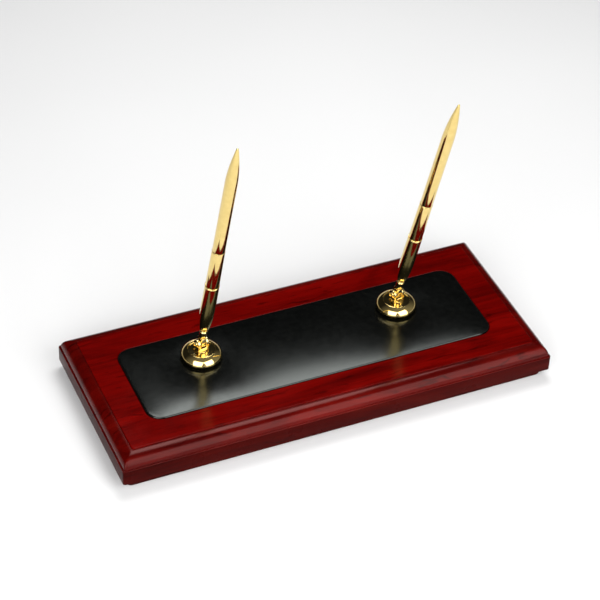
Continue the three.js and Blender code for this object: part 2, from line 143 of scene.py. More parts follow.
SIDES = 96  # round the gold fittings
GLOSS_ANGLE = math.radians(32)  # edges sharper than this stay crisp


# ---- Where things are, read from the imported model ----

def size_mm(node):
    low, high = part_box(node)
    return (high - low) / MM


def joint(name):
    return next(j for j in frame["joints"] if j["name"] == name)


BOARD_LENGTH, BOARD_WIDTH = size_mm("wood_board").x, size_mm("wood_board").y
BOARD_BOTTOM, BOARD_TOP = (corner.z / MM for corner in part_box("wood_board"))
PAD_LENGTH, PAD_WIDTH = size_mm("leather_pad").x, size_mm("leather_pad").y
PAD_BOTTOM, PAD_TOP = (corner.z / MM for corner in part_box("leather_pad"))
SWIVELS = ("left", "right")
DOME_CENTRES = {side: sum(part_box(side + "_dome"), Vector()) / 2 / MM for side in SWIVELS}


def dome_place(side):
    """Millimetre space with its origin on the leather, on the dome's axis."""
    return Matrix.Translation((DOME_CENTRES[side].x, DOME_CENTRES[side].y, PAD_TOP))


def hinge_place(side, upright):
    """Millimetre space on the hinge: Y along the pin, Z up, or along the pen's axis."""
    tilt = joint(side + "_tilt")
    along_pin = Vector(tilt["axis"]).normalized()
    upward = Vector((0, 0, 1)) if upright else Vector(joint(side + "_pen_lift")["axis"]).normalized()
    across = along_pin.cross(upward)
    turn = Matrix((across, along_pin, upward)).transposed().to_4x4()
    return Matrix.Translation(Vector(tilt["pos_m"]) / MM) @ turn


# ---- Mesh helpers ----

def make_piece(name, vertices, faces, place=None):
    mesh = bpy.data.meshes.new(name)
    mesh.from_pydata([tuple(v) for v in vertices], [], faces)
    if place is not None:
        mesh.transform(place)
    mesh.transform(Matrix.Scale(MM, 4))
    mesh.validate()
    piece = bpy.data.objects.new(name, mesh)
    bpy.context.scene.collection.objects.link(piece)
    return piece


def smooth(piece, angle=GLOSS_ANGLE):
    piece.data.shade_smooth()
    piece.data.set_sharp_from_angle(angle=angle)
    return piece


def apply_modifiers(piece):
    evaluated = piece.evaluated_get(bpy.context.evaluated_depsgraph_get())
    mesh = bpy.data.meshes.new_from_object(evaluated)
    piece.modifiers.clear()
    piece.data = mesh
    return piece


def combine(piece, tools, operation):
    """Cuts the tools from the piece, or joins them to it, and removes them."""
    for tool in tools:
        modifier = piece.modifiers.new(operation, "BOOLEAN")
        modifier.operation = operation
        modifier.solver = "EXACT"
        modifier.object = tool
    apply_modifiers(piece)
    for tool in tools:
        bpy.data.objects.remove(tool)
    return piece


def eased(profile, radius, steps=3):
    """The open profile with each sharp corner rounded."""
    points = [Vector(p) for p in profile]
    rounded = [points[0]]
    for before, corner, after in zip(points, points[1:], points[2:]):
        back, onward = before - corner, after - corner
        if math.pi - back.angle(onward) < math.radians(25):
            rounded.append(corner)
            continue
        trim = min(radius, 0.45 * back.length, 0.45 * onward.length)
        start = corner + back.normalized() * trim
        end = corner + onward.normalized() * trim
        for step in range(steps + 1):
            t = step / steps
            rounded.append((1 - t) ** 2 * start + 2 * t * (1 - t) * corner + t ** 2 * end)
    rounded.append(points[-1])
    return [tuple(p) for p in rounded]


def lathe(name, profile, place, sides=SIDES, closed=False):
    """Solid of revolution about Z from (radius, height) pairs, which may close on themselves."""
    vertices, rings = [], []
    for radius, height in profile:
        count = sides if radius > 1e-6 else 1
        rings.append(range(len(vertices), len(vertices) + count))
        for side in range(count):
            angle = 2 * math.pi * side / sides
            vertices.append((radius * math.cos(angle), radius * math.sin(angle), height))
    faces = []
    pairs = list(zip(rings, rings[1:]))
    if closed:
        pairs.append((rings[-1], rings[0]))
    for lower, upper in pairs:
        for side in range(sides):
            following = (side + 1) % sides
            corners = [lower[side % len(lower)], lower[following % len(lower)],
                       upper[following % len(upper)], upper[side % len(upper)]]
            corners = list(dict.fromkeys(corners))
            if len(corners) > 2:
                faces.append(corners)
    return make_piece(name, vertices, faces, place)


def rounded_rectangle(length, width, corner, corner_steps):
    points = []
    for quarter in range(4):
        sign_x = 1 if quarter in (0, 3) else -1
        sign_y = 1 if quarter in (0, 1) else -1
        for step in range(corner_steps + 1):
            angle = (quarter + step / corner_steps) * math.pi / 2
            points.append((sign_x * (length / 2 - corner) + corner * math.cos(angle),
                           sign_y * (width / 2 - corner) + corner * math.sin(angle)))
    return points


def loft(name, layers):
    """Closed solid through (outline, height) layers of equal point count, from the lowest up."""
    count = len(layers[0][0])
    vertices = [(x, y, height) for outline, height in layers for x, y in outline]
    faces = [list(reversed(range(count)))]
    for layer in range(len(layers) - 1):
        start = layer * count
        for i in range(count):
            j = (i + 1) % count
            faces.append([start + i, start + j, start + count + j, start + count + i])
    faces.append(list(range((len(layers) - 1) * count, len(layers) * count)))
    return make_piece(name, vertices, faces)


def prism(name, outline, thickness, bevel, place):
    """Solid with an (x, z) outline, centred on Y, with its flat faces' edges rounded."""
    count = len(outline)
    vertices = [(x, y, z) for y in (-thickness / 2, thickness / 2) for x, z in outline]
    faces = [list(range(count)), list(reversed(range(count, 2 * count)))]
    for i in range(count):
        j = (i + 1) % count
        faces.append([j, i, count + i, count + j])
    piece = make_piece(name, vertices, faces, place)
    modifier = piece.modifiers.new("bevel", "BEVEL")
    modifier.width = bevel * MM
    modifier.segments = 3
    modifier.limit_method = "ANGLE"
    modifier.angle_limit = math.radians(40)
    return apply_modifiers(piece)


def bore(radius, bottom, top, side):
    place = dome_place(side) @ Matrix.Translation((0, 0, -PAD_TOP))
    return lathe("bore", [(0, bottom), (radius, bottom), (radius, top), (0, top)], place, 64)


def bores(radius, bottom, top):
    return [bore(radius, bottom, top, side) for side in SWIVELS]


# ---- Materials ----

def new_material(name):
    material = bpy.data.materials.new(name)
    material.use_nodes = True
    return material, material.node_tree, material.node_tree.nodes["Principled BSDF"]


def add(tree, kind, inputs, **settings):
    """A shader node; each input is a value or another node's output."""
    node = tree.nodes.new(kind)
    for key, value in settings.items():
        setattr(node, key, value)
    for socket, value in inputs.items():
        if isinstance(value, bpy.types.NodeSocket):
            tree.links.new(value, node.inputs[socket])
        else:
            node.inputs[socket].default_value = value
    return node


def object_space(tree, stretch=(1, 1, 1)):
    place = add(tree, "ShaderNodeTexCoord", {}).outputs["Object"]
    return add(tree, "ShaderNodeMapping", {"Vector": place, "Scale": stretch}).outputs["Vector"]


def noise(tree, vector, scale, detail=3, roughness=0.55, distortion=0):
    inputs = {"Vector": vector, "Scale": scale, "Detail": detail,
              "Roughness": roughness, "Distortion": distortion}
    return add(tree, "ShaderNodeTexNoise", inputs).outputs["Fac"]


def ramp(tree, factor, stops):
    node = add(tree, "ShaderNodeValToRGB", {"Fac": factor})
    points = node.color_ramp.elements
    while len(points) < len(stops):
        points.new(0.5)
    for point, (position, colour) in zip(points, stops):
        point.position = position
        point.color = (*colour, 1)
    return node.outputs["Color"]


def spread(tree, factor, low, high):
    """The factor's middle half, spread between two values."""
    inputs = {"Value": factor, "From Min": 0.3, "From Max": 0.7, "To Min": low, "To Max": high}
    return add(tree, "ShaderNodeMapRange", inputs).outputs["Result"]


def blend_colours(tree, factor, first, second, mode="MIX"):
    node = tree.nodes.new("ShaderNodeMix")
    node.data_type = "RGBA"
    node.blend_type = mode
    for index, value in ((0, factor), (6, first), (7, second)):
        if isinstance(value, bpy.types.NodeSocket):
            tree.links.new(value, node.inputs[index])
        else:
            node.inputs[index].default_value = value
    return node.outputs[2]


def add_bump(tree, shader, height, depth_mm, strength=1.0):
    inputs = {"Height": height, "Distance": depth_mm * MM, "Strength": strength}
    tree.links.new(add(tree, "ShaderNodeBump", inputs).outputs["Normal"], shader.inputs["Normal"])


def rosewood(name, dark, middle, bright, roughness, reflectance):
    """Red-stained, lacquered wood with its grain along X."""
    material, tree, shader = new_material(name)
    figure = noise(tree, object_space(tree, (0.16, 1, 1)), 52, 4, 0.6, 1.3)
    streaks = noise(tree, object_space(tree, (0.05, 1, 1)), 520, 5, 0.62, 0.2)
    pores = noise(tree, object_space(tree, (0.07, 1, 1)), 2100, 2, 0.5)
    swirl = noise(tree, object_space(tree, (0.55, 1, 1)), 34, 3, 0.5, 2.2)
    marks = add(tree, "ShaderNodeTexWave", {
        "Vector": object_space(tree, (0.28, 1, 1)), "Scale": 46, "Distortion": 9, "Detail": 3,
        "Detail Scale": 1.4, "Detail Roughness": 0.6}, bands_direction="Y").outputs["Fac"]
    base = ramp(tree, figure, [(0.32, dark), (0.5, middle), (0.68, bright)])
    fine = ramp(tree, streaks, [(0.3, (0.72, 0.66, 0.66)), (0.55, (1, 1, 1)), (0.75, (1.1, 1.1, 1.1))])
    base = blend_colours(tree, 0.75, base, fine, "MULTIPLY")
    short_marks = ramp(tree, marks, [(0.0, (0.45, 0.35, 0.35)), (0.07, (0.75, 0.7, 0.7)), (0.14, (1, 1, 1))])
    where = ramp(tree, swirl, [(0.5, (0, 0, 0)), (0.62, (1, 1, 1))])
    base = blend_colours(tree, where, base, blend_colours(tree, 1.0, base, short_marks, "MULTIPLY"))
    pits = ramp(tree, pores, [(0.3, (0.6, 0.55, 0.55)), (0.38, (1, 1, 1))])
    base = blend_colours(tree, 0.6, base, pits, "MULTIPLY")
    tree.links.new(base, shader.inputs["Base Color"])
    wear = noise(tree, object_space(tree), 45, 5, 0.6)
    tree.links.new(spread(tree, wear, roughness - 0.03, roughness + 0.05), shader.inputs["Roughness"])
    shader.inputs["Specular IOR Level"].default_value = reflectance
    shader.inputs["Specular Tint"].default_value = (1.0, 0.5, 0.46, 1)
    add_bump(tree, shader, streaks, 0.02, 0.25)
    return material


def black_leather():
    """Smooth black leather with a fine pebbled grain."""
    material, tree, shader = new_material("black_leather")
    place = object_space(tree)
    warp = noise(tree, place, 260, 3, 0.6)
    cells = add(tree, "ShaderNodeTexVoronoi", {"Vector": place, "Scale": 1150, "Randomness": 0.95,
                                               "Smoothness": 0.5}, feature="SMOOTH_F1").outputs["Distance"]
    creases = noise(tree, place, 2600, 4, 0.65)
    tone = ramp(tree, warp, [(0.3, (0.0008, 0.0009, 0.0008)), (0.7, (0.002, 0.0022, 0.002))])
    tree.links.new(tone, shader.inputs["Base Color"])
    tree.links.new(spread(tree, warp, 0.17, 0.2), shader.inputs["Roughness"])
    shader.inputs["Specular IOR Level"].default_value = 0.5
    shader.inputs["Specular Tint"].default_value = (0.93, 1.0, 0.95, 1)
    grain = add(tree, "ShaderNodeMath", {0: cells, 1: creases}, operation="ADD").outputs[0]
    add_bump(tree, shader, grain, 0.03, 0.15)
    return material


def polished_gold():
    """Bright gold plate, very slightly uneven from polishing."""
    material, tree, shader = new_material("polished_gold")
    clouds = noise(tree, object_space(tree), 240, 4, 0.6)
    rubbing = noise(tree, object_space(tree, (1, 1, 0.12)), 3200, 3, 0.6)
    tone = ramp(tree, clouds, [(0.3, (0.76, 0.57, 0.21)), (0.7, (0.84, 0.65, 0.26))])
    tree.links.new(tone, shader.inputs["Base Color"])
    tree.links.new(spread(tree, rubbing, 0.05, 0.11), shader.inputs["Roughness"])
    shader.inputs["Metallic"].default_value = 1.0
    add_bump(tree, shader, rubbing, 0.002, 0.15)
    return material


def plain_steel():
    material, tree, shader = new_material("zinc_plated_steel")
    clouds = noise(tree, object_space(tree), 400, 4, 0.6)
    tone = ramp(tree, clouds, [(0.3, (0.42, 0.43, 0.44)), (0.7, (0.58, 0.58, 0.56))])
    tree.links.new(tone, shader.inputs["Base Color"])
    tree.links.new(spread(tree, clouds, 0.28, 0.42), shader.inputs["Roughness"])
    shader.inputs["Metallic"].default_value = 1.0
    add_bump(tree, shader, clouds, 0.02, 0.2)
    return material


def refill_brass():
    material, tree, shader = new_material("refill_brass")
    drawn = noise(tree, object_space(tree, (1, 1, 0.05)), 4000, 3, 0.6)
    tone = ramp(tree, drawn, [(0.3, (0.55, 0.42, 0.22)), (0.7, (0.66, 0.52, 0.30))])
    tree.links.new(tone, shader.inputs["Base Color"])
    tree.links.new(spread(tree, drawn, 0.22, 0.34), shader.inputs["Roughness"])
    shader.inputs["Metallic"].default_value = 1.0
    add_bump(tree, shader, drawn, 0.01, 0.2)
    return material


def moulded_plastic():
    material, tree, shader = new_material("moulded_plastic")
    texture = noise(tree, object_space(tree), 2400, 3, 0.6)
    tone = ramp(tree, texture, [(0.3, (0.008, 0.008, 0.009)), (0.7, (0.016, 0.016, 0.017))])
    tree.links.new(tone, shader.inputs["Base Color"])
    tree.links.new(spread(tree, texture, 0.4, 0.55), shader.inputs["Roughness"])
    add_bump(tree, shader, texture, 0.02, 0.3)
    return material


def green_felt():
    """Dense pressed felt."""
    material, tree, shader = new_material("green_felt")
    fibres = noise(tree, object_space(tree), 2200, 6, 0.75, 1.5)
    clumps = noise(tree, object_space(tree), 160, 4, 0.6)
    tone = ramp(tree, clumps, [(0.3, (0.006, 0.022, 0.011)), (0.7, (0.012, 0.040, 0.020))])
    lint = ramp(tree, fibres, [(0.3, (0.5, 0.5, 0.5)), (0.7, (1.4, 1.4, 1.4))])
    tree.links.new(blend_colours(tree, 0.8, tone, lint, "MULTIPLY"), shader.inputs["Base Color"])
    shader.inputs["Roughness"].default_value = 0.95
    shader.inputs["Specular IOR Level"].default_value = 0.15
    shader.inputs["Sheen Weight"].default_value = 0.25
    add_bump(tree, shader, fibres, 0.25, 0.6)
    return material


def hardboard():
    material, tree, shader = new_material("hardboard")
    flakes = noise(tree, object_space(tree), 900, 5, 0.7, 0.8)
    tone = ramp(tree, flakes, [(0.3, (0.10, 0.055, 0.025)), (0.7, (0.22, 0.13, 0.065))])
    tree.links.new(tone, shader.inputs["Base Color"])
    tree.links.new(spread(tree, flakes, 0.75, 0.9), shader.inputs["Roughness"])
    add_bump(tree, shader, flakes, 0.08, 0.4)
    return material


def pale_floor():
    material, tree, shader = new_material("pale_floor")
    shading = noise(tree, object_space(tree), 3, 2, 0.5)
    tone = ramp(tree, shading, [(0.3, (0.79, 0.79, 0.79)), (0.7, (0.82, 0.82, 0.82))])
    tree.links.new(tone, shader.inputs["Base Color"])
    shader.inputs["Roughness"].default_value = 0.9
    shader.inputs["Specular IOR Level"].default_value = 0.0
    return material


# Lit and shaded copies of one rosewood. The flat top takes the lightest reds, the moulding darker ones and
# the vertical faces the darkest: painted shade where less light falls. The moulding copy also reflects more,
# for its highlight, and the vertical faces less.
LIT_TOP_REDS = ((0.06, 0.0004, 0.0003), (0.11, 0.0008, 0.0004), (0.15, 0.0015, 0.0008))
HALF_SHADED_MOULDING_REDS = ((0.04, 0.0005, 0.0004), (0.07, 0.001, 0.0005), (0.1, 0.002, 0.001))
SHADED_SIDE_REDS = ((0.02, 0.0008, 0.0005), (0.035, 0.001, 0.0006), (0.048, 0.002, 0.001))
lit_wood_top = rosewood("rosewood_lit_top", *LIT_TOP_REDS, 0.16, 0.06)
half_shaded_wood_moulding = rosewood("rosewood_half_shaded_moulding", *HALF_SHADED_MOULDING_REDS, 0.17, 0.22)
shaded_wood_side = rosewood("rosewood_shaded_side", *SHADED_SIDE_REDS, 0.28, 0.04)
leather = black_leather()
gold = polished_gold()
steel = plain_steel()
brass = refill_brass()
plastic = moulded_plastic()
felt = green_felt()
board = hardboard()


# ---- Base ----

def board_section():
    """(inset, height) up the moulded edge, from the underside to the flat top."""
    run = MOULDING_WIDTH - LEDGE_WIDTH - FILLET_QUIRK
    rise = BOARD_TOP - FILLET_STEP - LEDGE_HEIGHT
    corners = [(2 * LEDGE_WIDTH, BOARD_BOTTOM), (0, BOARD_BOTTOM), (0, LEDGE_HEIGHT)]
    for step in range(OVOLO_STEPS + 1):
        angle = step / OVOLO_STEPS * math.pi / 2
        corners.append((LEDGE_WIDTH + run * (1 - math.cos(angle)), LEDGE_HEIGHT + rise * math.sin(angle)))
    corners.append((MOULDING_WIDTH, BOARD_TOP - FILLET_STEP))
    corners.append((MOULDING_WIDTH, BOARD_TOP))
    corners.append((MOULDING_WIDTH + 2 * EASED_EDGE, BOARD_TOP))
    return eased(corners, EASED_EDGE)


def moulded_board():
    section = board_section()
    layers = [(rounded_rectangle(BOARD_LENGTH - 2 * inset, BOARD_WIDTH - 2 * inset, BASE_CORNER, 6), height)
              for inset, height in section]
    piece = loft("moulded_board", layers)
    for material in (lit_wood_top, half_shaded_wood_moulding, shaded_wood_side):
        piece.data.materials.append(material)
    side_top, moulding_top = LEDGE_HEIGHT - EASED_EDGE, BOARD_TOP - FILLET_STEP / 2
    # Painted shade: faces below the moulding take the shaded copy of the wood, the moulding the half-shaded
    # copy and the flat top the lit copy.
    for face in piece.data.polygons:
        height = face.center.z / MM
        face.material_index = 2 if height < side_top else 1 if height < moulding_top else 0
    recess = []
    for growth, height in ((PANEL_GAP, BOARD_TOP - RECESS_DEPTH), (PANEL_GAP, BOARD_TOP - RECESS_ARRIS),
                           (PANEL_GAP + RECESS_ARRIS, BOARD_TOP), (PANEL_GAP + RECESS_ARRIS, BOARD_TOP + 1)):
        outline = rounded_rectangle(
            PAD_LENGTH + 2 * growth, PAD_WIDTH + 2 * growth, PANEL_CORNER + growth, 16)
        recess.append((outline, height))
    tools = [loft("recess", recess), *bores(STAND_BORE, BOARD_BOTTOM - 1, BOARD_TOP),
             *bores(COUNTERBORE_RADIUS, BOARD_BOTTOM - 1, COUNTERBORE_TOP)]
    for tool in tools:
        tool.data.materials.append(lit_wood_top)
    combine(piece, tools, "DIFFERENCE")
    return smooth(piece)


def lower_board():
    section = eased([(2 * EASED_EDGE, FELT_THICKNESS), (0, FELT_THICKNESS), (0, BOARD_BOTTOM)], EASED_EDGE)
    layers = []
    for inset, height in section:
        length, width = (side - 2 * (PLINTH_INSET + inset) for side in (BOARD_LENGTH, BOARD_WIDTH))
        layers.append((rounded_rectangle(length, width, PLINTH_CORNER - inset, 10), height))
    piece = loft("lower_board", layers)
    combine(piece, bores(COUNTERBORE_RADIUS, 0, BOARD_BOTTOM + 1), "DIFFERENCE")
    # The lower board takes the shaded copy of the wood: painted shade.
    piece.data.materials.clear()
    piece.data.materials.append(shaded_wood_side)
    return smooth(piece)


def half_length(y, length, width, corner):
    """Half the length of a rounded rectangle's chord at y."""
    beyond = max(0.0, abs(y) - (width / 2 - corner))
    return length / 2 - corner + math.sqrt(max(0.0, corner ** 2 - beyond ** 2))


def outward(x, y):
    """Direction out of the pad's outline at a point on it."""
    over_x = max(0.0, abs(x) - (PAD_LENGTH / 2 - PANEL_CORNER))
    over_y = max(0.0, abs(y) - (PAD_WIDTH / 2 - PANEL_CORNER))
    return Vector((math.copysign(over_x, x), math.copysign(over_y, y))).normalized()


def pad_grid():
    """Points of the pad's flat top, row by row, closer together towards the long edges."""
    length, width = PAD_LENGTH - 2 * PAD_ROLL, PAD_WIDTH - 2 * PAD_ROLL
    corner = PANEL_CORNER - PAD_ROLL
    rows = []
    for row in range(PAD_ROWS + 1):
        t = 2 * row / PAD_ROWS - 1
        y = width / 2 * (0.7 * t + 0.3 * math.sin(t * math.pi / 2))
        reach = half_length(y, length, width, corner)
        rows.append([(reach * (2 * column / PAD_COLUMNS - 1), y) for column in range(PAD_COLUMNS + 1)])
    return rows


def grid_faces():
    across = PAD_COLUMNS + 1
    corners = (row * across + column for row in range(PAD_ROWS) for column in range(PAD_COLUMNS))
    return [[start, start + 1, start + 1 + across, start + across] for start in corners]


def grid_edge():
    """Indices of the grid's outer points, in order round it."""
    across = PAD_COLUMNS + 1
    last = across * PAD_ROWS
    return [*range(across), *range(2 * across - 1, last, across),
            *reversed(range(last, last + across)), *reversed(range(across, last, across))]


def held_by_dome(x, y):
    return any(math.hypot(x - centre.x, y - centre.y) < DOME_FOOT for centre in DOME_CENTRES.values())


def swollen_heights(points):
    """Heights of the leather's points, from a cloth simulation of it as a sheet.
    Air pressure stands for the foam; the sheet is held at its edges and under the domes."""
    sheet = make_piece("sheet", [(x, y, PAD_TOP) for x, y in points], grid_faces())
    edge = set(grid_edge())
    held = [i for i, (x, y) in enumerate(points) if i in edge or held_by_dome(x, y)]
    sheet.vertex_groups.new(name="held").add(held, 1.0, "REPLACE")
    cloth = sheet.modifiers.new("cloth", "CLOTH")
    cloth.collision_settings.use_collision = False
    cloth.point_cache.frame_end = CLOTH_FRAMES
    settings = cloth.settings
    settings.vertex_group_mass = "held"
    settings.use_pressure = True
    settings.uniform_pressure_force = CLOTH_PRESSURE
    settings.effector_weights.gravity = 0
    settings.mass = 0.002
    settings.quality = 4
    settings.tension_stiffness = settings.compression_stiffness = settings.shear_stiffness = CLOTH_STIFFNESS
    settings.tension_damping = settings.compression_damping = settings.shear_damping = CLOTH_DAMPING
    settings.bending_stiffness = 0.001
    for step in range(1, CLOTH_FRAMES + 1):
        bpy.context.scene.frame_set(step)
    smoothing = sheet.modifiers.new("smoothing", "SMOOTH")
    smoothing.iterations = 4
    smoothing.factor = 0.5
    smoothing.vertex_group = "held"
    smoothing.invert_vertex_group = True
    apply_modifiers(sheet)
    lifts = [vertex.co.z / MM - PAD_TOP for vertex in sheet.data.vertices]
    bpy.data.objects.remove(sheet)
    bpy.context.scene.frame_set(1)
    share = PAD_CROWN / max(lifts)
    return [PAD_TOP + max(0.0, lift) * share for lift in lifts]


def pad_mesh():
    """The swollen top, its rolled edge, straight sides and flat underside."""
    points = [point for row in pad_grid() for point in row]
    heights = swollen_heights(points)
    vertices = [(x, y, height) for (x, y), height in zip(points, heights)]
    faces = grid_faces()
    edge = grid_edge()
    levels = [(PAD_ROLL * math.sin(angle), PAD_TOP - PAD_ROLL * (1 - math.cos(angle)))
              for angle in (math.pi / 2 * step / ROLL_STEPS for step in range(1, ROLL_STEPS + 1))]
    levels.append((PAD_ROLL, PAD_BOTTOM))
    previous = edge
    for reach, height in levels:
        ring = range(len(vertices), len(vertices) + len(edge))
        for index in edge:
            x, y, _ = vertices[index]
            push = outward(x, y) * reach
            vertices.append((x + push.x, y + push.y, height))
        for i in range(len(edge)):
            j = (i + 1) % len(edge)
            faces.append([previous[j], previous[i], ring[i], ring[j]])
        previous = ring
    faces.append(list(previous))
    return make_piece("padded_leather", vertices, faces)


def padded_leather():
    piece = pad_mesh()
    combine(piece, bores(STAND_BORE, 0, PAD_TOP + 5), "DIFFERENCE")
    piece.data.materials.clear()
    piece.data.materials.append(leather)
    return smooth(piece, math.radians(60))


def stand_in(piece, body, node, material):
    """Puts a finished piece in place of its CAD node."""
    if material is not None:
        piece.data.materials.clear()
        piece.data.materials.append(material)
    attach(piece, body)
    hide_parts(node)
    return piece


stand_in(moulded_board(), "root", "wood_board", None)
stand_in(lower_board(), "root", "plinth", None)
pad = stand_in(padded_leather(), "root", "leather_pad", None)


# ---- Gold fittings ----

def dome_outline(inset, bottom, top, steps):
    points = []
    for step in range(steps + 1):
        height = bottom + (top - bottom) * step / steps
        lift = (height - DOME_WIDEST) / (DOME_HALF_HEIGHT - inset)
        points.append(((DOME_RADIUS - inset) * math.sqrt(1 - lift * lift), height))
    return points


def dome(side):
    shank_bottom = SHANK_BOTTOM - PAD_TOP
    rim = DOME_WIDEST + DOME_HALF_HEIGHT * math.sqrt(1 - (DOME_RIM_RADIUS / DOME_RADIUS) ** 2)
    profile = [(SHANK_RADIUS, 0.2), (BOSS_RADIUS, 0.2), (BOSS_RADIUS, DISH_FLOOR - DOME_WALL)]
    profile += reversed(dome_outline(DOME_WALL, DOME_WIDEST, DISH_EDGE - 1.5 * DOME_WALL, 10))
    profile += [(DOME_FOOT - DOME_WALL, 0.1), (DOME_FOOT, 0.1), (DOME_RADIUS - 0.9, DOME_WIDEST - 0.9),
                (DOME_RADIUS - 0.25, DOME_WIDEST - 0.6)]
    profile += dome_outline(0, DOME_WIDEST, rim, 40)
    profile += [(DOME_RIM_RADIUS - DOME_BEAD / 2, rim + DOME_BEAD / 4), (DOME_RIM_RADIUS - DOME_BEAD, rim),
                (DOME_RIM_RADIUS - 1.5 * DOME_BEAD, DISH_EDGE), (BOSS_RADIUS + 0.4, DISH_CROWN),
                (BOSS_RADIUS + 0.3, DISH_FLOOR), (STEM_BORE, DISH_FLOOR), (STEM_BORE, shank_bottom),
                (SHANK_RADIUS, shank_bottom)]
    return lathe(side + "_dome_shell", eased(profile, 0.25), dome_place(side), closed=True)


def arch(radius, foot, steps=24):
    """(x, z) outline with a square foot and a half-round top about the origin."""
    points = [(-radius, foot), (radius, foot)]
    for step in range(steps + 1):
        angle = math.pi * step / steps
        points.append((radius * math.cos(angle), radius * math.sin(angle)))
    return points


def fork(side):
    place = hinge_place(side, True)
    pivot = joint(side + "_tilt")["pos_m"][2] / MM
    floor = PAD_TOP + DISH_FLOOR - pivot
    cheek = (FORK_WIDTH - FORK_SLOT) / 2
    cheeks = []
    for sign in (-1, 1):
        offset = Matrix.Translation((0, sign * (FORK_SLOT + cheek) / 2, 0))
        cheeks.append(prism("cheek", arch(CHEEK_RADIUS, floor + 0.5), cheek, 0.3, place @ offset))
    half = CHEEK_RADIUS
    block = [(-half, floor + 0.5), (half, floor + 0.5), (half, -SLOT_FLOOR), (-half, -SLOT_FLOOR)]
    base = prism("base", block, FORK_WIDTH, 0.3, place)
    bottom = STEM_BOTTOM - pivot
    stem = lathe("stem", eased([
        (0, bottom), (STEM_RADIUS, bottom), (STEM_RADIUS, bottom + 1), (STEM_RADIUS - 0.5, bottom + 1),
        (STEM_RADIUS - 0.5, bottom + 1.8), (STEM_RADIUS, bottom + 1.8), (STEM_RADIUS, floor + 0.2),
        (FLANGE_RADIUS - 0.1, floor + 0.2), (FLANGE_RADIUS, floor + 0.35), (FLANGE_RADIUS - 0.1, floor + 0.5),
        (FLANGE_RADIUS - 1.1, floor + 0.7), (0, floor + 0.7),
    ], 0.2), place, 64)
    whole = combine(stem, [base, *cheeks], "UNION")
    whole.name = side + "_fork"
    hole = pin_shape("hole", [(0, -FORK_WIDTH), (PIN_HOLE, -FORK_WIDTH), (PIN_HOLE, FORK_WIDTH),
                              (0, FORK_WIDTH)], side, True)
    return combine(whole, [hole], "DIFFERENCE")


def pin_shape(name, profile, side, upright):
    """Solid of revolution along the hinge pin."""
    return lathe(name, profile, hinge_place(side, upright) @ Matrix.Rotation(-math.pi / 2, 4, "X"), 48)


def hinge_pin(side):
    half = FORK_WIDTH / 2 + 0.1
    head = []
    for step in range(9):
        angle = step / 8 * math.pi / 2
        head.append((PIN_HEAD_RADIUS * math.cos(angle), half + 0.15 + 0.75 * math.sin(angle)))
    profile = [(PIN_RADIUS, 0), (PIN_RADIUS, half), (PIN_HEAD_RADIUS, half), *head]
    mirrored = [(radius, -height) for radius, height in reversed(profile)]
    mirrored[0], profile[-1] = (0, mirrored[0][1]), (0, profile[-1][1])
    return pin_shape(side + "_pin", mirrored + profile[1:], side, True)


def tongue(side):
    place = hinge_place(side, False)
    shoulder = COLLAR_START + 0.4
    outline = [(-CHEEK_RADIUS, -TONGUE_FOOT), (CHEEK_RADIUS, -TONGUE_FOOT), (CHEEK_RADIUS, 1)]
    for step in range(1, 11):
        t = step / 10
        outline.append((CHEEK_RADIUS + (COLLAR_RADIUS - 0.3 - CHEEK_RADIUS) * t * t,
                        1 + 4 * t * (1 - t) + (shoulder - 1) * t * t))
    outline += [(-x, z) for x, z in reversed(outline[2:])]
    blade = prism("blade", outline, TONGUE_THICKNESS, 0.3, place)
    collar = lathe("collar", eased([
        (0, COLLAR_START), (COLLAR_RADIUS - 0.5, COLLAR_START), (COLLAR_RADIUS, COLLAR_START + 0.6),
        (COLLAR_RADIUS, FUNNEL_START - 2.4), (COLLAR_RADIUS - 0.6, FUNNEL_START - 1.8),
        (COLLAR_RADIUS - 0.6, FUNNEL_START - 1.4), (COLLAR_RADIUS + 0.2, FUNNEL_START - 0.8),
        (COLLAR_RADIUS + 0.2, FUNNEL_START - 0.1), (STUD_RADIUS, FUNNEL_START - 0.1),
        (STUD_RADIUS, CUP_FLOOR - 0.4), (0, CUP_FLOOR - 0.4),
    ], 0.2), place, 64)
    whole = combine(collar, [blade], "UNION")
    whole.name = side + "_tilting_tongue"
    reach = TONGUE_THICKNESS
    hole = pin_shape("hole", [(0, -reach), (PIN_HOLE, -reach), (PIN_HOLE, reach), (0, reach)], side, False)
    return combine(whole, [hole], "DIFFERENCE")


def funnel_radius(station):
    if station >= FUNNEL_WIDEST:
        run = (station - FUNNEL_WIDEST) / (FUNNEL_LIP - FUNNEL_WIDEST)
        return FUNNEL_RADIUS + (LIP_RADIUS - FUNNEL_RADIUS) * run * run
    bullet = (FUNNEL_WIDEST - station) / NOSE_REACH
    return FUNNEL_RADIUS * (1 - bullet ** BULLET_POWER) ** (1 / BULLET_POWER)


def funnel(side):
    top = FUNNEL_LIP - 0.9
    outside = [(funnel_radius(FUNNEL_START + (top - FUNNEL_START) * step / 60),
                FUNNEL_START + (top - FUNNEL_START) * step / 60) for step in range(61)]
    profile = [(STUD_RADIUS + 0.15, FUNNEL_START), *outside, (CUP_RADIUS, top), (CUP_RADIUS, FUNNEL_WIDEST),
               (3.4, CUP_FLOOR + 3), (2.4, CUP_FLOOR), (STUD_RADIUS + 0.15, CUP_FLOOR)]
    return lathe(side + "_funnel_shell", eased(profile, 0.15), hinge_place(side, False), closed=True)


def lip_ring(side):
    profile = [(CUP_RADIUS, FUNNEL_LIP - 0.8), (LIP_RADIUS, FUNNEL_LIP - 0.8),
               (LIP_RADIUS + 0.12, FUNNEL_LIP - 0.5), (LIP_RADIUS + 0.12, FUNNEL_LIP - 0.25),
               (LIP_RADIUS - 0.05, FUNNEL_LIP), (CUP_RADIUS, FUNNEL_LIP)]
    return lathe(side + "_bright_lip", eased(profile, 0.15), hinge_place(side, False), closed=True)


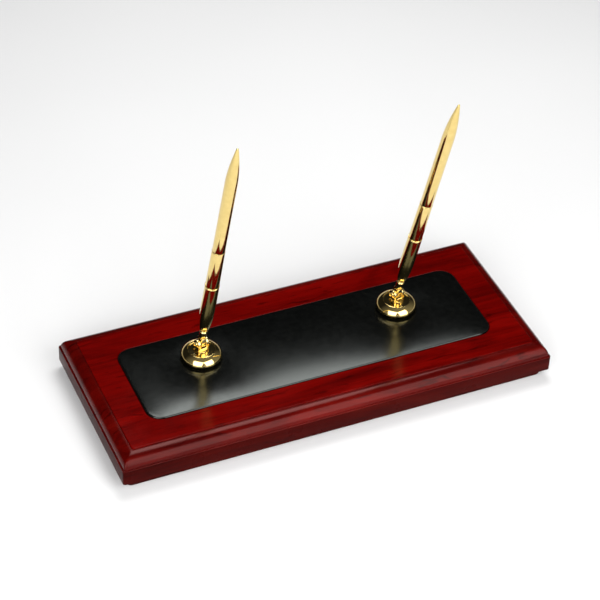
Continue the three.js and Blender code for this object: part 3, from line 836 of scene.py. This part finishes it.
def pen_front(side):
    middle = ((SHOULDER_RADIUS + RING_RADIUS) / 2 - 0.05, (PEN_SHOULDER + JOINT_RING) / 2)
    face, spigot_end = JOINT_RING - 0.1, JOINT_RING + SPIGOT_LENGTH
    outside = [(POINT_HOLE, NOSE_START), (1.3, NOSE_START), (1.9, NOSE_START + 4), (2.9, NOSE_START + 10),
               (NOSE_RADIUS, NOSE_END), (NOSE_RADIUS, PEN_SHOULDER), (SHOULDER_RADIUS - 0.2, PEN_SHOULDER),
               (SHOULDER_RADIUS, PEN_SHOULDER + 0.3), middle, (RING_RADIUS - 0.12, face)]
    inside = [(THREAD_RADIUS, face), (THREAD_RADIUS, spigot_end), (FRONT_BORE, spigot_end),
              (FRONT_BORE, NOSE_END + 2), (REFILL_BORE, NOSE_END - 4), (REFILL_BORE, NOSE_START + 3),
              (POINT_HOLE, NOSE_START + 2.4)]
    return lathe(side + "_front_barrel", eased(outside + inside, 0.15), hinge_place(side, False), closed=True)


def pen_ring(side):
    end = JOINT_RING + RING_LENGTH
    bulge = [(RING_RADIUS - 0.15 + 0.15 * math.sin(math.pi * step / 8), JOINT_RING + RING_LENGTH * step / 8)
             for step in range(9)]
    profile = [(THREAD_RADIUS + 0.15, JOINT_RING), *bulge, (THREAD_RADIUS + 0.15, end)]
    return lathe(side + "_joint_ring", profile, hinge_place(side, False), closed=True)


def tail_radius(station):
    run = (station - TAIL_START) / (TAIL_END - TAIL_START)
    return BARREL_RADIUS * (1 - TAPER_DEPTH * run ** TAPER_POWER)


def pen_tail(side):
    start = JOINT_RING + RING_LENGTH + 0.1
    last = TAIL_END - 0.6
    taper = [(tail_radius(TAIL_START + (last - TAIL_START) * step / 40),
              TAIL_START + (last - TAIL_START) * step / 40) for step in range(41)]
    tip = []
    for step in range(1, 9):
        angle = step / 8 * math.pi / 2
        tip.append((tail_radius(last) * math.cos(angle), last + (TAIL_END - last) * math.sin(angle)))
    tip[-1] = (0, TAIL_END)
    inside = [(0, TAIL_START + 16), (1.4, TAIL_START + 15), (TAIL_BORE, TAIL_START), (TAIL_BORE, start + 9),
              (THREAD_RADIUS + 0.2, start + 8.5), (THREAD_RADIUS + 0.2, start)]
    profile = inside + [(RING_RADIUS - 0.15, start), (BARREL_RADIUS + 0.05, start + 14), *taper, *tip]
    return lathe(side + "_tail_barrel", eased(profile, 0.12), hinge_place(side, False))


FITTINGS = (
    (dome, "root", "_dome"),
    (fork, "_swivel", "_yoke"),
    (hinge_pin, "_swivel", "_hinge_pin"),
    (tongue, "_holder", "_tongue"),
    (funnel, "_holder", "_funnel"),
    (lip_ring, "_holder", "_lip_ring"),
    (pen_front, "_pen", "_pen_front"),
    (pen_ring, "_pen_back", "_pen_ring"),
    (pen_tail, "_pen_back", "_pen_tail"),
)

for side in SWIVELS:
    for build, body, node in FITTINGS:
        rides = body if body == "root" else side + body
        stand_in(smooth(build(side)), rides, side + node, gold)


# ---- CAD nodes that stay: the parts inside and underneath ----

KEPT = {"felt_pad": felt, "panel_board": board}
for side in SWIVELS:
    for node in ("_fixing_washer", "_fixing_nut", "_spring_washer", "_retaining_ring"):
        KEPT[side + node] = steel
    KEPT[side + "_liner"] = plastic
    KEPT[side + "_pen_refill"] = brass

for node, material in KEPT.items():
    slots = frame["nodes"][node].data.materials
    slots.clear()
    slots.append(material)


# ---- Floor, light and camera ----

TARGET = Vector((26.56, 69.25, 0)) * MM
CAMERA_DISTANCE = 1514.96 * MM
CAMERA_AZIMUTH = -25.105
CAMERA_ELEVATION = 40.422
CAMERA_ROLL = math.radians(2.777)
CAMERA_LENS = 129.49

# Studio sizes and distances are in metres
FLOOR_RADIUS = 2.5
FRONT_RADIANCE = 4.0
FRONT_SIZE = (0.95, 1.25)
FRONT_DISTANCE = 1.2
OVERHEAD_RADIANCE = 6.5
OVERHEAD_SIZE = (0.5, 0.46)
OVERHEAD_DISTANCE = 0.9


def towards(azimuth, elevation):
    """Unit vector; azimuth 0 is in front of the object, and it grows to the right."""
    azimuth, elevation = math.radians(azimuth), math.radians(elevation)
    return Vector((math.sin(azimuth) * math.cos(elevation), -math.cos(azimuth) * math.cos(elevation),
                   math.sin(elevation)))


def make_floor():
    piece = lathe("floor", [(0, 0), (FLOOR_RADIUS / MM, 0)], Matrix.Identity(4), 128)
    piece.data.flip_normals()
    piece.data.materials.append(pale_floor())


def softbox(name, direction, distance, size, radiance):
    """Rectangular light that faces the object's centre; its power follows from its radiance."""
    width, height = size
    light = bpy.data.lights.new(name, "AREA")
    light.shape = "RECTANGLE"
    light.size = width
    light.size_y = height
    light.energy = radiance * math.pi * width * height
    lamp = bpy.data.objects.new(name, light)
    lamp.location = direction * distance
    lamp.rotation_euler = direction.to_track_quat("Z", "Y").to_euler()
    bpy.context.scene.collection.objects.link(lamp)


def make_world():
    """Studio surround: paler at the floor, dim in front and at the sides, nearly black behind the object."""
    world = bpy.data.worlds.new("studio")
    world.use_nodes = True
    tree = world.node_tree
    ray = add(tree, "ShaderNodeTexCoord", {}).outputs["Generated"]
    direction = add(tree, "ShaderNodeSeparateXYZ", {"Vector": ray}).outputs
    inputs = {"Value": direction["Y"], "From Min": -0.3, "From Max": 0.45}
    backwards = add(tree, "ShaderNodeMapRange", inputs).outputs["Result"]
    upper = ramp(tree, backwards, [(0.0, (0.22, 0.22, 0.22)), (1.0, (0.015, 0.015, 0.015))])
    above_floor = ramp(tree, direction["Z"], [(0.0, (0, 0, 0)), (0.14, (1, 1, 1))])
    tone = blend_colours(tree, above_floor, (0.35, 0.35, 0.35, 1), upper)
    tree.links.new(tone, tree.nodes["Background"].inputs["Color"])
    bpy.context.scene.world = world


def make_camera():
    back = towards(CAMERA_AZIMUTH, CAMERA_ELEVATION)
    right = (-back).cross(Vector((0, 0, 1))).normalized()
    up = right.cross(-back)
    camera_x = math.cos(CAMERA_ROLL) * right + math.sin(CAMERA_ROLL) * up
    camera_y = -math.sin(CAMERA_ROLL) * right + math.cos(CAMERA_ROLL) * up
    turn = Matrix((camera_x, camera_y, back)).transposed().to_4x4()
    data = bpy.data.cameras.new("camera")
    data.sensor_width = 36
    data.lens = CAMERA_LENS
    camera = bpy.data.objects.new("camera", data)
    camera.matrix_world = Matrix.Translation(TARGET + back * CAMERA_DISTANCE) @ turn
    bpy.context.scene.collection.objects.link(camera)
    bpy.context.scene.camera = camera


make_floor()
make_world()
make_camera()
softbox("left_softbox", towards(-43, 28), FRONT_DISTANCE, FRONT_SIZE, FRONT_RADIANCE)
softbox("right_softbox", towards(20, 28), FRONT_DISTANCE, FRONT_SIZE, FRONT_RADIANCE)
softbox("overhead_softbox", towards(155, 69), OVERHEAD_DISTANCE, OVERHEAD_SIZE, OVERHEAD_RADIANCE)
bpy.context.scene.view_settings.view_transform = "Standard"
